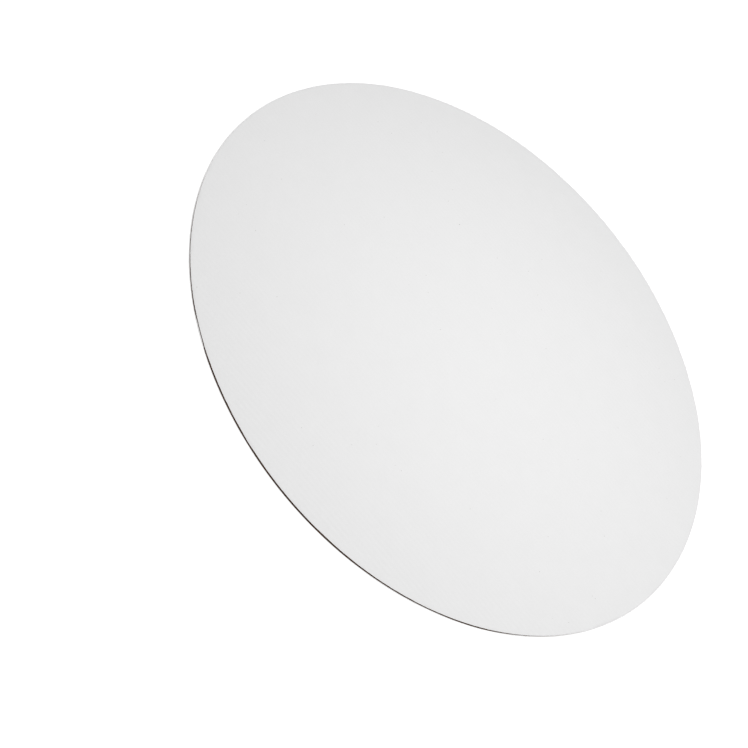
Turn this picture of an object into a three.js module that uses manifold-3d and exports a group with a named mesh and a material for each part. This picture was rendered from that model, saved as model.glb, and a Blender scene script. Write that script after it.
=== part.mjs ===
import * as THREE from 'three';
import { mergeVertices } from 'three/addons/utils/BufferGeometryUtils.js';
import Module from 'manifold-3d';

// Pizza circle: a round die-cut from single-wall corrugated board, lying flat.
// Millimetres, +Z up. The origin is the centre of the underside and the flutes run along X.

// Driving dimensions
const boardDiameter = 406;
const topLinerThickness = 0.25;
const bottomLinerThickness = 0.25;
const fluteHeight = 1.125; // between the inner faces of the two liners
const flutePitch = 3.4; // crest to crest
const mediumThickness = 0.1875;
const landWidth = 0.7; // flat glue land on each crest and trough
const shoulderRun = 0.3; // across the flutes, from a land to the steep flank
const shoulderDrop = 0.15; // how far the shoulder falls below its land
const rimFacets = 240;
const flutesPastRim = 1; // whole flutes drawn beyond the rim before the round is cut

// Paper colours
const whitePaper = new THREE.MeshStandardMaterial({ color: 0xf0f0ee, roughness: 0.85, metalness: 0 });
const brownMedium = new THREE.MeshStandardMaterial({ color: 0x9a7a58, roughness: 0.95, metalness: 0 });
const brownLiner = new THREE.MeshStandardMaterial({ color: 0xb08c64, roughness: 0.9, metalness: 0 });

// A flat disc of paper with its lower face at z = 0. Every layer shares these rim facets.
function paperDisc(thickness) {
  const disc = new THREE.CylinderGeometry(boardDiameter / 2, boardDiameter / 2, thickness, rimFacets);
  disc.rotateX(Math.PI / 2);
  disc.translate(0, 0, thickness / 2);
  return disc;
}

// One flute of the web's centreline, from the middle of a trough to the middle of the next trough,
// as corners [y, z] relative to the crest and to the mid height of the wave.
function fluteCentreline() {
  const rise = (fluteHeight - mediumThickness) / 2;
  const halfLand = landWidth / 2;
  const halfPitch = flutePitch / 2;
  const crestSide = [
    [halfLand, rise],
    [halfLand + shoulderRun, rise - shoulderDrop],
  ];
  const troughSide = [
    [halfPitch - halfLand - shoulderRun, shoulderDrop - rise],
    [halfPitch - halfLand, -rise],
  ];
  const fallingFlank = [...crestSide, ...troughSide];
  const risingFlank = fallingFlank.map(([y, z]) => [-y, z]).reverse();
  return [...risingFlank, ...fallingFlank];
}

// The centreline over the whole board, running a little past the rim on both sides.
function waveCentreline() {
  const flutesEachSide = Math.ceil(boardDiameter / 2 / flutePitch) + flutesPastRim;
  const corners = [];
  for (let flute = -flutesEachSide; flute <= flutesEachSide; flute += 1) {
    for (const [y, z] of fluteCentreline()) {
      corners.push(new THREE.Vector2(flute * flutePitch + y, fluteHeight / 2 + z));
    }
  }
  return corners;
}

// The line moved sideways by a distance, with mitred corners, so the web keeps its thickness.
// At an end of the line one of the two directions has no length, and the other one counts alone.
function offsetLine(corners, distance) {
  return corners.map((corner, index) => {
    const before = corners[Math.max(index - 1, 0)];
    const after = corners[Math.min(index + 1, corners.length - 1)];
    const arriving = corner.clone().sub(before).normalize();
    const leaving = after.clone().sub(corner).normalize();
    const bisector = arriving.clone().add(leaving).normalize();
    const normal = new THREE.Vector2(-bisector.y, bisector.x);
    const alignment = Math.max(arriving.dot(bisector), leaving.dot(bisector));
    return corner.clone().addScaledVector(normal, distance / alignment);
  });
}

// The wave's section swept along X, long enough to pass the rim at both ends.
function waveBlock() {
  const centreline = waveCentreline();
  const upperSide = offsetLine(centreline, mediumThickness / 2);
  const lowerSide = offsetLine(centreline, -mediumThickness / 2);
  const section = new THREE.Shape([...lowerSide, ...upperSide.reverse()]);
  const length = boardDiameter + flutePitch;
  const block = new THREE.ExtrudeGeometry(section, { depth: length, bevelEnabled: false });
  block.translate(0, 0, -length / 2);
  // The section's (x, y) become (Y, Z) and the sweep becomes X.
  block.rotateY(Math.PI / 2);
  block.rotateX(Math.PI / 2);
  return block;
}

const wasm = await Module();
wasm.setup();

function toSolid(geometry) {
  const bare = geometry.clone();
  bare.deleteAttribute('normal');
  bare.deleteAttribute('uv');
  const merged = mergeVertices(bare, 1e-5);
  const mesh = new wasm.Mesh({
    numProp: 3,
    vertProperties: new Float32Array(merged.attributes.position.array),
    triVerts: new Uint32Array(merged.index.array),
  });
  mesh.merge();
  return new wasm.Manifold(mesh);
}

function toGeometry(solid) {
  const mesh = solid.getMesh();
  const geometry = new THREE.BufferGeometry();
  geometry.setAttribute('position', new THREE.BufferAttribute(mesh.vertProperties, 3));
  geometry.setIndex(new THREE.BufferAttribute(mesh.triVerts, 1));
  geometry.computeVertexNormals();
  return geometry;
}

// The wave cut to the round, with every flute open at the rim.
function roundMedium() {
  const wave = toSolid(waveBlock());
  const round = toSolid(paperDisc(fluteHeight));
  return toGeometry(wave.intersect(round));
}

function addSheet(board, name, geometry, material, height) {
  const sheet = new THREE.Mesh(geometry, material);
  sheet.name = name;
  sheet.position.z = height;
  board.add(sheet);
}

const board = new THREE.Group();
const mediumHeight = bottomLinerThickness;
const topLinerHeight = bottomLinerThickness + fluteHeight;
addSheet(board, 'bottom_liner', paperDisc(bottomLinerThickness), brownLiner, 0);
addSheet(board, 'fluted_medium', roundMedium(), brownMedium, mediumHeight);
addSheet(board, 'top_liner', paperDisc(topLinerThickness), whitePaper, topLinerHeight);

export default board;
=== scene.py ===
import math

import bmesh
import bpy
from mathutils import Matrix, Vector, noise


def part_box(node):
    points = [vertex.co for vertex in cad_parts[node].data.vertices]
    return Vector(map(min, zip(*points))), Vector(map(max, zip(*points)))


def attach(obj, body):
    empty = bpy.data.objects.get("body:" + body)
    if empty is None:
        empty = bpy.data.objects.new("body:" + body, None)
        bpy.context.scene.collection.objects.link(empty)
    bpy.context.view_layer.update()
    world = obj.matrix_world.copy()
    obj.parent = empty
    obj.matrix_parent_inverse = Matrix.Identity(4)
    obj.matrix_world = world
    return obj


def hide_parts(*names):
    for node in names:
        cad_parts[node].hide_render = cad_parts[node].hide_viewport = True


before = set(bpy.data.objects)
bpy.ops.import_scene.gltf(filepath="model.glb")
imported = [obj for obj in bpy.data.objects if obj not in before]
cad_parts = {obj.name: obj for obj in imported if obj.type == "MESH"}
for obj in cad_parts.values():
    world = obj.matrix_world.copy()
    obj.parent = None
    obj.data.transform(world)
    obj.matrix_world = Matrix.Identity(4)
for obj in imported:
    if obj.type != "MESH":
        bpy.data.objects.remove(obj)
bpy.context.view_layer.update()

mm = 0.001

# what the frame gives: the round, and the heights where its three papers meet
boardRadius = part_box("top_liner")[1][0]
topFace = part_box("top_liner")[1][2]
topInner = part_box("top_liner")[0][2]
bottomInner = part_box("bottom_liner")[1][2]
print("board radius", round(boardRadius, 4), "thickness", round(topFace, 6))

# the corrugation runs along X, with a crest on the middle line of the board
flute = {
    "pitch": 3.4 * mm,
    "paperThickness": 0.1875 * mm,
    "crestFlatness": 1.3,  # near 0 is a plain sine, 2 has wide flat crests
    "sag": 0.02 * mm,  # how far the white sheet sinks between two crests
}

# what the cutting die leaves at the edge; more detail gives shorter waves round the rim
cutEdge = {
    "press": 0.02 * mm,  # the edge is pressed down this far all round
    "betweenCrests": 0.08 * mm,  # and further where no crest holds it up
    "weakPress": 0.22 * mm,  # and further still at its weakest places
    "weakDetail": 14,
    "weakSeed": 5.7,
    "weakSharpness": 2.2,
    "weakLevel": 0.15,  # a higher level leaves fewer weak places
    "pressWidth": 1.6 * mm,
    # where the cut leans inwards: angle round the board and reach to each side, both in degrees,
    # and how far the underside is set back
    "slants": [
        (-34.0, 17.0, 0.34 * mm),
        (-66.0, 14.0, 0.24 * mm),
        (-121.0, 4.0, 0.5 * mm),
        (-136.0, 14.0, 0.22 * mm),
        (-156.0, 16.0, 0.22 * mm),
    ],
    "slantFade": 1.5,  # above 1 the middle of each slant is even
    "round": 0.05 * mm,  # the softened corner of the white face
    "roundWidth": 0.2 * mm,
    "wander": 0.30 * mm,  # slow in and out of the outline
    "wanderDetail": 4,
    "wanderSeed": 1.3,
    "ragged": 0.12 * mm,  # quick in and out of the outline
    "raggedDetail": 90,
    "fibres": 0.05 * mm,  # the finest fringe of cut fibres
    "fibreDetail": 420,
    "band": 3.0 * mm,  # width of the band that follows the outline
    "crispAngle": 40.0,  # degrees, past which an edge shades sharply
}

# how finely the sheets are divided
grid = {
    "rowsPerFlute": 14,
    "poleAngle": 10.0,  # degrees round the rim from its two ends in y, where rows crowd together
    "poleStep": 0.4,  # degrees from row to row there
    "rimColumns": [0.0, 0.08, 0.3, 0.7, 1.3, 2.2, 4.0, 12.0],  # mm in from the edge, along x
    "innerColumns": [0.7, 0.35],  # shares of the way out to the last of those
    "shortRow": 30 * mm,  # rows with less than this on each side draw their columns together
    "mergeDistance": 0.001 * mm,
}


def smoothStep(value):
    value = min(max(value, 0.0), 1.0)
    return value * value * (3 - 2 * value)


def fluteWave(y):
    # 1 on a crest and -1 in a trough
    flat = flute["crestFlatness"]
    return math.tanh(flat * math.cos(2 * math.pi * y / flute["pitch"])) / math.tanh(flat)


def betweenCrests(y):
    # 0 on a crest and 1 in the middle between two crests
    return 0.5 - 0.5 * fluteWave(y)


def aroundRim(angle, detail, seed):
    # noise from -1 to 1, read on a circle so that it meets itself after a full turn
    return noise.noise(Vector((math.cos(angle) * detail, math.sin(angle) * detail, seed)))


def outlineInset(angle, seed):
    # how far the cut lies inside the true round
    wander = 0.5 + 0.5 * aroundRim(angle, cutEdge["wanderDetail"], cutEdge["wanderSeed"])
    ragged = 0.5 + 0.5 * aroundRim(angle, cutEdge["raggedDetail"], seed)
    fibres = 0.5 + 0.5 * aroundRim(angle, cutEdge["fibreDetail"], seed)
    quick = cutEdge["ragged"] * ragged + cutEdge["fibres"] * fibres
    return cutEdge["wander"] * wander + quick


def cutSlant(angle, height):
    # how far the cut has moved inwards at this height, with nothing at the white face
    setBack = 0.0
    for place, reach, most in cutEdge["slants"]:
        away = abs(math.degrees(angle) - place) / reach
        setBack += most * smoothStep(cutEdge["slantFade"] * (1 - away))
    return setBack * (1 - height / topFace)


def pressedDown(y, angle, inFromRim):
    # how far the edge is crushed, which fades inwards
    weakNoise = aroundRim(angle, cutEdge["weakDetail"], cutEdge["weakSeed"])
    weak = smoothStep(cutEdge["weakSharpness"] * weakNoise - cutEdge["weakLevel"])
    unheld = cutEdge["betweenCrests"] * betweenCrests(y)
    depth = cutEdge["press"] + unheld + cutEdge["weakPress"] * weak
    return depth * (1 - smoothStep(inFromRim / cutEdge["pressWidth"]))


def rowPlaces():
    # even rows over the board, and rows at even angles where the round closes
    poleY = boardRadius * math.cos(math.radians(grid["poleAngle"]))
    rows = round(2 * poleY / flute["pitch"] * grid["rowsPerFlute"])
    even = [-poleY + 2 * poleY * index / rows for index in range(rows + 1)]
    steps = round(grid["poleAngle"] / grid["poleStep"])
    pole = [boardRadius * math.cos(math.radians(grid["poleStep"] * index)) for index in range(steps)]
    return [-y for y in pole] + even + pole[::-1]


def columnPlaces(halfChord):
    # columns crowd together at both ends of a row
    squeeze = min(1.0, halfChord / grid["shortRow"])
    right = [halfChord - inset * mm * squeeze for inset in grid["rimColumns"]]
    right += [right[-1] * share for share in grid["innerColumns"]]
    return [-x for x in right] + [0.0] + right[::-1]


# each sheet's cut is ragged in its own way
raggedSeeds = {
    "top_sheet": 11.0,
    "fluting": 23.0,
    "bottom_sheet": 37.0,
}


def sheetPoint(x, y, side, seed):
    # a point of the true round, set at the height of its side and drawn in with the cut
    radius = math.hypot(x, y)
    angle = math.atan2(y, x)
    inFromRim = boardRadius - radius
    height = side(y, angle, inFromRim)
    inset = outlineInset(angle, seed) + cutSlant(angle, height)
    follow = 1 - smoothStep(inFromRim / cutEdge["band"])
    shrink = 1 - inset * follow / max(radius, cutEdge["band"])
    return Vector((x * shrink, y * shrink, height))


def roundSheet(name, lowerSide, upperSide, materials):
    # a grid given a second side, then drawn out to the round with each side at its own height
    # the materials are those of the upper side, the lower side and the cut edge
    rows = rowPlaces()
    columns = len(columnPlaces(boardRadius))
    bm = bmesh.new()
    bmesh.ops.create_grid(bm, x_segments=columns - 1, y_segments=len(rows) - 1, size=1)
    raised = bmesh.ops.extrude_face_region(bm, geom=bm.faces[:], use_keep_orig=True)["geom"]
    raisedVerts = [part for part in raised if isinstance(part, bmesh.types.BMVert)]
    bmesh.ops.translate(bm, verts=raisedVerts, vec=(0, 0, 1))
    for face in bm.faces:
        # the grid is 1 thick here, and the faces of its cut edge lie halfway up
        height = face.calc_center_median().z
        face.material_index = 0 if height > 0.9 else 1 if height < 0.1 else 2
        face.smooth = True
    for vert in bm.verts:
        row = round((vert.co.y + 1) / 2 * (len(rows) - 1))
        column = round((vert.co.x + 1) / 2 * (columns - 1))
        y = rows[row]
        x = columnPlaces(math.sqrt(max(boardRadius**2 - y**2, 0.0)))[column]
        side = upperSide if vert.co.z > 0.5 else lowerSide
        vert.co = sheetPoint(x, y, side, raggedSeeds[name])
    bmesh.ops.remove_doubles(bm, verts=bm.verts, dist=grid["mergeDistance"])
    bmesh.ops.recalc_face_normals(bm, faces=bm.faces)
    for edge in bm.edges:
        # the cut stays crisp while the flutes shade smoothly
        edge.smooth = edge.calc_face_angle(0) < math.radians(cutEdge["crispAngle"])
    mesh = bpy.data.meshes.new(name)
    bm.to_mesh(mesh)
    print(name, "has", len(bm.faces), "faces, open edges", sum(not edge.is_manifold for edge in bm.edges))
    bm.free()
    for material in materials:
        mesh.materials.append(material)
    piece = bpy.data.objects.new(name, mesh)
    bpy.context.collection.objects.link(piece)
    return piece


# nodes, one helper for each kind that repeats
def addNode(material, kind, **settings):
    node = material.node_tree.nodes.new(kind)
    for name, value in settings.items():
        setattr(node, name, value)
    return node


def connect(material, source, target):
    material.node_tree.links.new(source, target)


def startMaterial(name, specular):
    material = bpy.data.materials.new(name)
    material.use_nodes = True
    shader = material.node_tree.nodes["Principled BSDF"]
    shader.inputs["Specular IOR Level"].default_value = specular
    place = addNode(material, "ShaderNodeTexCoord")
    return material, shader, place.outputs["Object"]


def stretched(material, place, scale, turn=0.0):
    mapping = addNode(material, "ShaderNodeMapping")
    mapping.inputs["Scale"].default_value = scale
    mapping.inputs["Rotation"].default_value = (0, 0, math.radians(turn))
    connect(material, place, mapping.inputs["Vector"])
    return mapping.outputs["Vector"]


def noiseValue(material, place, scale, detail=3.0, roughness=0.5):
    texture = addNode(material, "ShaderNodeTexNoise")
    texture.inputs["Scale"].default_value = scale
    texture.inputs["Detail"].default_value = detail
    texture.inputs["Roughness"].default_value = roughness
    connect(material, place, texture.inputs["Vector"])
    return texture.outputs["Fac"]


def fluteValue(material, place):
    # 1 over a crest and 0 between two crests; the texture takes 20 radians to each unit of scale
    texture = addNode(material, "ShaderNodeTexWave", bands_direction="Y")
    texture.inputs["Scale"].default_value = 2 * math.pi / (20 * flute["pitch"])
    texture.inputs["Phase Offset"].default_value = math.pi
    connect(material, place, texture.inputs["Vector"])
    return texture.outputs["Fac"]


def spread(material, value, low, high, fromLow=0.0, fromHigh=1.0):
    remap = addNode(material, "ShaderNodeMapRange")
    remap.inputs["From Min"].default_value = fromLow
    remap.inputs["From Max"].default_value = fromHigh
    remap.inputs["To Min"].default_value = low
    remap.inputs["To Max"].default_value = high
    connect(material, value, remap.inputs["Value"])
    return remap.outputs["Result"]


def combine(material, operation, first, second):
    node = addNode(material, "ShaderNodeMath", operation=operation)
    for socket, value in zip(node.inputs, (first, second)):
        if isinstance(value, (int, float)):
            socket.default_value = value
        else:
            connect(material, value, socket)
    return node.outputs["Value"]


def speckValue(material, place, paper):
    # 1 on a few scattered dots and 0 elsewhere
    dots = addNode(material, "ShaderNodeTexVoronoi")
    dots.inputs["Scale"].default_value = paper["speckPlaces"]
    connect(material, place, dots.inputs["Vector"])
    pick = addNode(material, "ShaderNodeSeparateColor")
    connect(material, dots.outputs["Color"], pick.inputs["Color"])
    chosen = combine(material, "LESS_THAN", pick.outputs["Red"], paper["specks"])
    size = paper["speckSize"]
    dot = spread(material, dots.outputs["Distance"], 1, 0, size / 2, size)
    return combine(material, "MULTIPLY", chosen, dot)


def markValue(material, place, spot, width, depth):
    # 1 minus the depth in the middle of one small spot, fading to 1 at its outline
    away = addNode(material, "ShaderNodeVectorMath", operation="DISTANCE")
    away.inputs[1].default_value = (*spot, topFace)
    connect(material, place, away.inputs[0])
    return spread(material, away.outputs["Value"], 1 - depth, 1, width * 0.25, width * 0.5)


def shade(material, colour, value):
    # the colour times a value
    scaled = addNode(material, "ShaderNodeVectorMath", operation="SCALE")
    if isinstance(colour, tuple):
        scaled.inputs[0].default_value = colour
    else:
        connect(material, colour, scaled.inputs[0])
    connect(material, value, scaled.inputs["Scale"])
    return scaled.outputs["Vector"]


def blendColours(material, factor, first, second):
    mix = addNode(material, "ShaderNodeMix", data_type="RGBA")
    connect(material, factor, mix.inputs["Factor"])
    for socket, value in ((mix.inputs[6], first), (mix.inputs[7], second)):
        if isinstance(value, tuple):
            socket.default_value = (*value, 1)
        else:
            connect(material, value, socket)
    return mix.outputs[2]


def relief(material, shader, heights):
    # each height is a value and the metres that it stands for
    before = None
    for value, distance in heights:
        bump = addNode(material, "ShaderNodeBump")
        bump.inputs["Strength"].default_value = 1
        bump.inputs["Distance"].default_value = distance
        connect(material, value, bump.inputs["Height"])
        if before is not None:
            connect(material, before, bump.inputs["Normal"])
        before = bump.outputs["Normal"]
    connect(material, before, shader.inputs["Normal"])


whitePaper = {
    "colour": (0.86, 0.859, 0.86),
    "roughness": (0.72, 0.9),  # from the smoothest grain to the roughest
    "specular": 0.25,
    "cloudSize": 55,  # soft clouds of the pulp, features in each metre
    "grainSize": 1500,
    "fibre": (260, 2400, 800),  # features in each metre along x, y and z
    "fibreTurn": 8,  # degrees
    "fineFibre": (900, 9000, 3000),
    "fineFibreTurn": -14,
    # how far each layer lightens and darkens the paper, and how deep its relief is
    "cloudTone": 0.012,
    "grainTone": 0.026,
    "fibreTone": 0.012,
    "fineFibreTone": 0.024,
    # the flute layer is painted shade: the white face is lighter over each crest and darker in the sag
    # between two crests
    "washboardShadeTone": 0.003,
    "cloudDepth": 0.04 * mm,
    "fibreDepth": 0.014 * mm,
    "grainDepth": 0.014 * mm,
    "fineFibreDepth": 0.01 * mm,
    "specks": 0.012,  # share of the places that hold a speck
    "speckPlaces": 420,  # places in each metre
    "speckSize": 0.12,  # against the distance between two places
    "speckColour": (0.45, 0.43, 0.41),
    # single darker fibres in the paper: place on the board, width, and how much darker
    "marks": [
        ((-63.3 * mm, 64.5 * mm), 0.9 * mm, 0.5),
        ((-108.3 * mm, -25.5 * mm), 0.6 * mm, 0.35),
        ((-182.0 * mm, -31.6 * mm), 0.6 * mm, 0.35),
    ],
}


def makeWhitePaper():
    material, shader, place = startMaterial("white_top_paper", whitePaper["specular"])
    lyingFibres = stretched(material, place, whitePaper["fibre"], whitePaper["fibreTurn"])
    lyingFineFibres = stretched(material, place, whitePaper["fineFibre"], whitePaper["fineFibreTurn"])
    clouds = noiseValue(material, place, whitePaper["cloudSize"], detail=4)
    grain = noiseValue(material, place, whitePaper["grainSize"], detail=4, roughness=0.65)
    fibres = noiseValue(material, lyingFibres, 1)
    fineFibres = noiseValue(material, lyingFineFibres, 1)
    # painted shade of the washboard: lighter over each crest, darker between two crests
    crests = fluteValue(material, place)
    tone = 1
    for layer, swing in (
        (clouds, whitePaper["cloudTone"]),
        (grain, whitePaper["grainTone"]),
        (fibres, whitePaper["fibreTone"]),
        (fineFibres, whitePaper["fineFibreTone"]),
        (crests, whitePaper["washboardShadeTone"]),
    ):
        tone = combine(material, "ADD", tone, spread(material, layer, -swing, swing))
    for spot, width, depth in whitePaper["marks"]:
        tone = combine(material, "MULTIPLY", tone, markValue(material, place, spot, width, depth))
    specks = speckValue(material, place, whitePaper)
    paper = shade(material, whitePaper["colour"], tone)
    paper = blendColours(material, specks, paper, whitePaper["speckColour"])
    connect(material, paper, shader.inputs["Base Color"])
    connect(material, spread(material, grain, *whitePaper["roughness"]), shader.inputs["Roughness"])
    heights = [
        (clouds, whitePaper["cloudDepth"]),
        (fibres, whitePaper["fibreDepth"]),
        (grain, whitePaper["grainDepth"]),
        (fineFibres, whitePaper["fineFibreDepth"]),
    ]
    relief(material, shader, heights)
    return material


# what all the brown papers share, with the sizes and turns in the units of the white paper
brownFibres = {
    "roughness": 0.9,
    "specular": 0.04,
    "cloudSize": 70,
    "grainSize": 1300,
    "fibre": (240, 2600, 900),
    "fibreTurn": 6,
    "crossedFibre": (1500, 300, 900),
    "crossedTurn": -24,
    "mottle": (0.3, 0.62),  # below the first the paper is dark, above the second light
    "cloudTone": (0.9, 1.08),  # the colour is multiplied by this plus the grain's tone
    "grainTone": (-0.12, 0.12),
    "cloudDepth": 0.05 * mm,
    "fibreDepth": 0.03 * mm,
    "fluteDepth": 0.02 * mm,
    "speckPlaces": 900,
    "speckSize": 0.3,
    "speckColour": (0.10, 0.07, 0.05),
}

# the core, fluting and cut colours and their darks are kraft brown darkened past the paper's own colour:
# partly real kraft, partly painted shade, so the rim reads as dark as an edge turned away from the light
brownPapers = {
    "top_sheet_core_painted_shade": {
        "colour": (0.19, 0.08, 0.036),
        "dark": (0.09, 0.038, 0.017),
        "specks": 0.02,
        "grainDepth": 0.05 * mm,
        "showsFlutes": False,
    },
    "brown_flute_paper": {
        "colour": (0.19, 0.083, 0.038),
        "dark": (0.095, 0.041, 0.019),
        "specks": 0.05,
        "grainDepth": 0.03 * mm,
        "showsFlutes": False,
    },
    "cut_fibres_painted_shade": {
        "colour": (0.24, 0.104, 0.048),
        "dark": (0.12, 0.052, 0.024),
        "specks": 0.03,
        "grainDepth": 0.08 * mm,
        "showsFlutes": False,
    },
    "brown_liner_paper": {
        "colour": (0.37, 0.265, 0.175),
        "dark": (0.27, 0.19, 0.12),
        "specks": 0.05,
        "grainDepth": 0.03 * mm,
        "showsFlutes": True,
    },
}


def makeBrownPaper(name):
    paper = {**brownFibres, **brownPapers[name]}
    material, shader, place = startMaterial(name, paper["specular"])
    shader.inputs["Roughness"].default_value = paper["roughness"]
    lyingFibres = stretched(material, place, paper["fibre"], paper["fibreTurn"])
    crossedFibres = stretched(material, place, paper["crossedFibre"], paper["crossedTurn"])
    clouds = noiseValue(material, place, paper["cloudSize"], detail=4)
    grain = noiseValue(material, place, paper["grainSize"], detail=4, roughness=0.65)
    fibres = noiseValue(material, lyingFibres, 1, detail=4, roughness=0.6)
    crossed = noiseValue(material, crossedFibres, 1, roughness=0.6)
    mottle = combine(material, "MULTIPLY", combine(material, "ADD", fibres, crossed), 0.5)
    lightness = spread(material, mottle, 0, 1, *paper["mottle"])
    mixed = blendColours(material, lightness, paper["dark"], paper["colour"])
    cloudTone = spread(material, clouds, *paper["cloudTone"])
    tone = combine(material, "ADD", cloudTone, spread(material, grain, *paper["grainTone"]))
    specks = speckValue(material, place, paper)
    speckled = blendColours(material, specks, shade(material, mixed, tone), paper["speckColour"])
    connect(material, speckled, shader.inputs["Base Color"])
    heights = [(clouds, paper["cloudDepth"])]
    if paper["showsFlutes"]:
        heights.append((fluteValue(material, place), paper["fluteDepth"]))
    heights += [(fibres, paper["fibreDepth"]), (grain, paper["grainDepth"])]
    relief(material, shader, heights)
    return material


# heights of the two sides of each sheet
def whiteSheetSag(y):
    return flute["sag"] * betweenCrests(y)


def topUpper(y, angle, inFromRim):
    corner = cutEdge["round"] * (1 - smoothStep(inFromRim / cutEdge["roundWidth"]))
    return topFace - whiteSheetSag(y) - corner - pressedDown(y, angle, inFromRim)


def topLower(y, angle, inFromRim):
    return topInner - whiteSheetSag(y) - pressedDown(y, angle, inFromRim)


def mediumSide(y, angle, inFromRim, direction):
    # the paper's thickness is measured square to the wave, whose slope is read over a short step
    rise = (topInner - bottomInner - flute["paperThickness"]) / 2
    step = 0.01 * mm
    slope = rise * (fluteWave(y + step) - fluteWave(y - step)) / (2 * step)
    half = flute["paperThickness"] / 2 * math.sqrt(1 + slope**2)
    height = (topInner + bottomInner) / 2 + rise * fluteWave(y) + direction * half
    height = min(max(height, bottomInner), topInner)
    lifted = (height - bottomInner) / (topInner - bottomInner)
    return height - pressedDown(y, angle, inFromRim) * lifted


def mediumUpper(y, angle, inFromRim):
    return mediumSide(y, angle, inFromRim, 1)


def mediumLower(y, angle, inFromRim):
    return mediumSide(y, angle, inFromRim, -1)


def bottomUpper(y, angle, inFromRim):
    return bottomInner


def bottomLower(y, angle, inFromRim):
    return 0.0


def buildBoard():
    white = makeWhitePaper()
    core = makeBrownPaper("top_sheet_core_painted_shade")
    medium = makeBrownPaper("brown_flute_paper")
    cut = makeBrownPaper("cut_fibres_painted_shade")
    liner = makeBrownPaper("brown_liner_paper")
    topSheet = roundSheet("top_sheet", topLower, topUpper, [white, core, core])
    fluting = roundSheet("fluting", mediumLower, mediumUpper, [medium, medium, cut])
    bottomSheet = roundSheet("bottom_sheet", bottomLower, bottomUpper, [liner, liner, cut])
    for piece, node, slot in (
        (topSheet, "top_liner", "white_top_paper"),
        (fluting, "fluted_medium", "brown_flute_paper"),
        (bottomSheet, "bottom_liner", "brown_liner_paper"),
    ):
        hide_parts(node)
        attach(piece, "root")


# the photograph's view: above the near edge, turned so that the flutes run down to the right
view = {
    "lens": 60.0,  # mm
    "sensor": 36.0,  # mm
    "distance": 0.8216,  # metres
    "elevation": 45.79,  # degrees above the board
    "roll": 49.58,  # degrees
    "aimRight": -0.0643,  # metres from the board's middle, in the camera's right and up directions
    "aimUp": -0.0249,
}


def addCamera():
    elevation = math.radians(view["elevation"])
    roll = math.radians(view["roll"])
    back = Vector((0, -math.cos(elevation), math.sin(elevation)))
    levelRight = Vector((1, 0, 0))
    levelUp = back.cross(levelRight)
    right = math.cos(roll) * levelRight + math.sin(roll) * levelUp
    up = back.cross(right)
    place = back * view["distance"] + right * view["aimRight"] + up * view["aimUp"]
    data = bpy.data.cameras.new("photo_view")
    data.lens = view["lens"]
    data.sensor_width = view["sensor"]
    data.clip_start = 0.01
    camera = bpy.data.objects.new("photo_view", data)
    turn = Matrix((right, up, back)).transposed().to_4x4()
    camera.matrix_world = Matrix.Translation(place) @ turn
    bpy.context.collection.objects.link(camera)
    bpy.context.scene.camera = camera


studio = {
    "worldStrength": 0.3,
    "lampPower": 4.06,  # watts, for each of the two lamps
    "lampSize": 0.35,
    "lampPlace": (0.054, 0.0, 0.74),  # over the brightest part of the white face
    "floorSize": 6.0,
    "floorDrop": 0.05 * mm,
    "boardOverlap": 5 * mm,  # how far the board's rim reaches over the floor
    "openingSides": 128,  # straight sides of the floor's round opening
    "floorSeen": 0.75,  # grey value that is seen
    "floorBounce": 0.5,  # grey value that lights the board from below
    "floorLift": 0.55,  # brings the floor up to white where it is seen
    "floorNear": 0.4,  # metres from the middle where the floor starts to turn plain white
    "floorFar": 1.2,  # metres from the middle where it is plain white
}


def addLamp(name, place, power, turn):
    data = bpy.data.lights.new(name, "AREA")
    data.energy = power
    data.size = studio["lampSize"]
    lamp = bpy.data.objects.new(name, data)
    lamp.matrix_world = Matrix.Translation(place) @ Matrix.Rotation(turn, 4, "X")
    lamp.visible_camera = False
    bpy.context.collection.objects.link(lamp)


def seenRays(material):
    # 1 for what the camera, a gloss or a clear material sees, and 0 for the light on the board
    rays = addNode(material, "ShaderNodeLightPath").outputs
    seen = combine(material, "MAXIMUM", rays["Is Camera Ray"], rays["Is Glossy Ray"])
    return combine(material, "MAXIMUM", seen, rays["Is Transmission Ray"])


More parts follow.
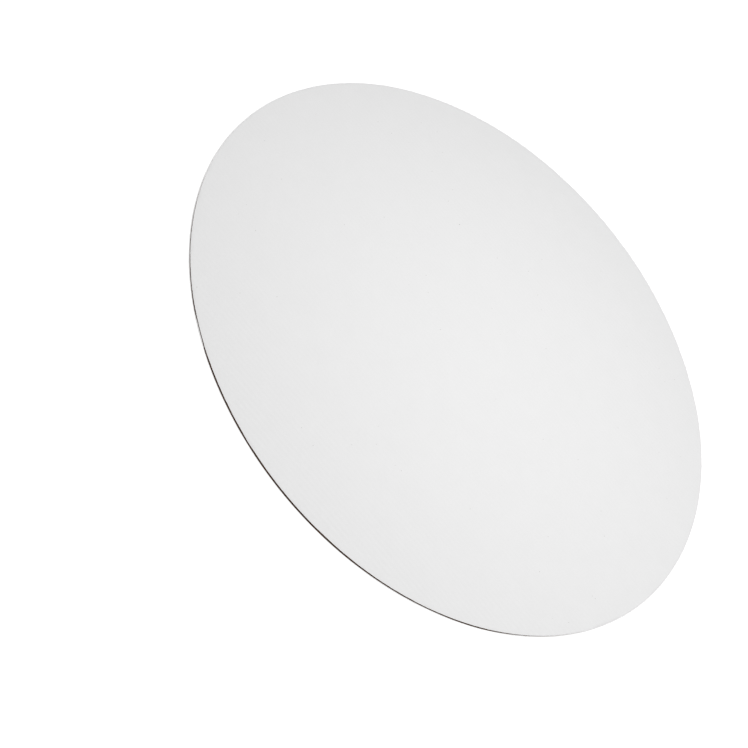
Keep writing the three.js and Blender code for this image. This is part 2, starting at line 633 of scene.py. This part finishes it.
def addLights():
    x, y, height = studio["lampPlace"]
    addLamp("soft_box", (x, y, height), studio["lampPower"], 0)
    addLamp("under_light", (x, y, -height), studio["lampPower"], math.pi)
    world = bpy.data.worlds.new("white_room")
    world.use_nodes = True
    bpy.context.scene.world = world
    lighting = world.node_tree.nodes["Background"]
    lighting.inputs["Color"].default_value = (1, 1, 1, 1)
    lighting.inputs["Strength"].default_value = studio["worldStrength"]
    backdrop = addNode(world, "ShaderNodeBackground")
    backdrop.inputs["Color"].default_value = (1, 1, 1, 1)
    mix = addNode(world, "ShaderNodeMixShader")
    connect(world, seenRays(world), mix.inputs["Fac"])
    connect(world, lighting.outputs["Background"], mix.inputs[1])
    connect(world, backdrop.outputs["Background"], mix.inputs[2])
    connect(world, mix.outputs["Shader"], world.node_tree.nodes["World Output"].inputs["Surface"])


def makeFloorPaint():
    # darker for the light on the board than for what is seen, and plain white in the distance
    material = bpy.data.materials.new("pale_floor")
    material.use_nodes = True
    shader = material.node_tree.nodes["Principled BSDF"]
    shader.inputs["Roughness"].default_value = 1
    shader.inputs["Specular IOR Level"].default_value = 0
    shader.inputs["Emission Color"].default_value = (1, 1, 1, 1)
    seen = seenRays(material)
    grey = spread(material, seen, studio["floorBounce"], studio["floorSeen"])
    connect(material, grey, shader.inputs["Base Color"])
    place = addNode(material, "ShaderNodeTexCoord")
    away = addNode(material, "ShaderNodeVectorMath", operation="LENGTH")
    connect(material, place.outputs["Object"], away.inputs[0])
    nearFar = (studio["floorNear"], studio["floorFar"])
    whiter = spread(material, away.outputs["Value"], studio["floorLift"], 1, *nearFar)
    lift = combine(material, "MULTIPLY", seen, whiter)
    connect(material, lift, shader.inputs["Emission Strength"])
    return material


def addFloor():
    # a wide ring whose opening the board covers, so that the underside can be seen from below
    opening = boardRadius - studio["boardOverlap"]
    bm = bmesh.new()
    bmesh.ops.create_circle(bm, segments=studio["openingSides"], radius=opening)
    outer = bmesh.ops.extrude_edge_only(bm, edges=bm.edges[:])["geom"]
    outerVerts = [part for part in outer if isinstance(part, bmesh.types.BMVert)]
    reach = studio["floorSize"] / 2 / opening
    bmesh.ops.scale(bm, verts=outerVerts, vec=(reach, reach, 1))
    bmesh.ops.translate(bm, verts=bm.verts, vec=(0, 0, -studio["floorDrop"]))
    bmesh.ops.recalc_face_normals(bm, faces=bm.faces)
    mesh = bpy.data.meshes.new("floor")
    bm.to_mesh(mesh)
    bm.free()
    mesh.materials.append(makeFloorPaint())
    floor = bpy.data.objects.new("floor", mesh)
    bpy.context.collection.objects.link(floor)


scene = bpy.context.scene
scene.view_settings.view_transform = "Standard"
addCamera()
print("camera placed")
addLights()
addFloor()
print("lights and floor placed")
buildBoard()
print("board built")
